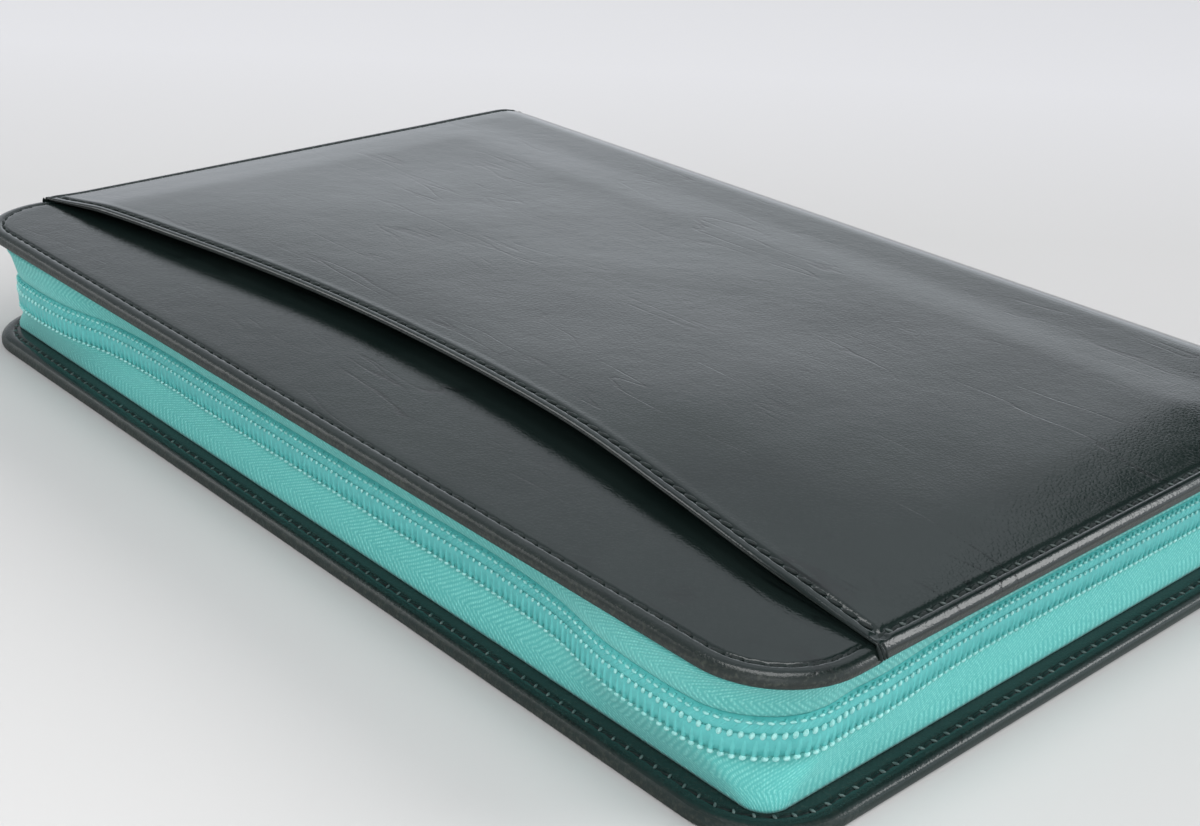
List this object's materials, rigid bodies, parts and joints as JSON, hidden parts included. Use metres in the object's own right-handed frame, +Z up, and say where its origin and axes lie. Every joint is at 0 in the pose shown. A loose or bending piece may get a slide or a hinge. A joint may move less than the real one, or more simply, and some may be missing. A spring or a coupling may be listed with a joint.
{
  "type": "notebook cover clutch",
  "caption": "Zip-round leather notebook cover with a slip pocket across the front, a rounded spine and a bright cloth zip around the three open sides.",
  "frame": {"origin": "middle of the underside of the back cover", "axes": "+X along the long side, +Y towards the spine, +Z up through the front cover"},
  "size_m": [0.244, 0.165, 0.0343],
  "materials": {
    "leather": "polished, dark green-black",
    "zip_cloth": "woven, turquoise",
    "zip_nylon": "satin, turquoise",
    "zip_metal": "dark, satin"
  },
  "bodies": {
    "root": {"leather_wrap": "leather", "front_panel": "leather", "zip_tape_upper": "zip_cloth", "zip_tape_lower": "zip_cloth", "zip_coil_upper": "zip_nylon", "zip_coil_lower": "zip_nylon", "zip_slider": "zip_metal"}
  },
  "joints": []
}
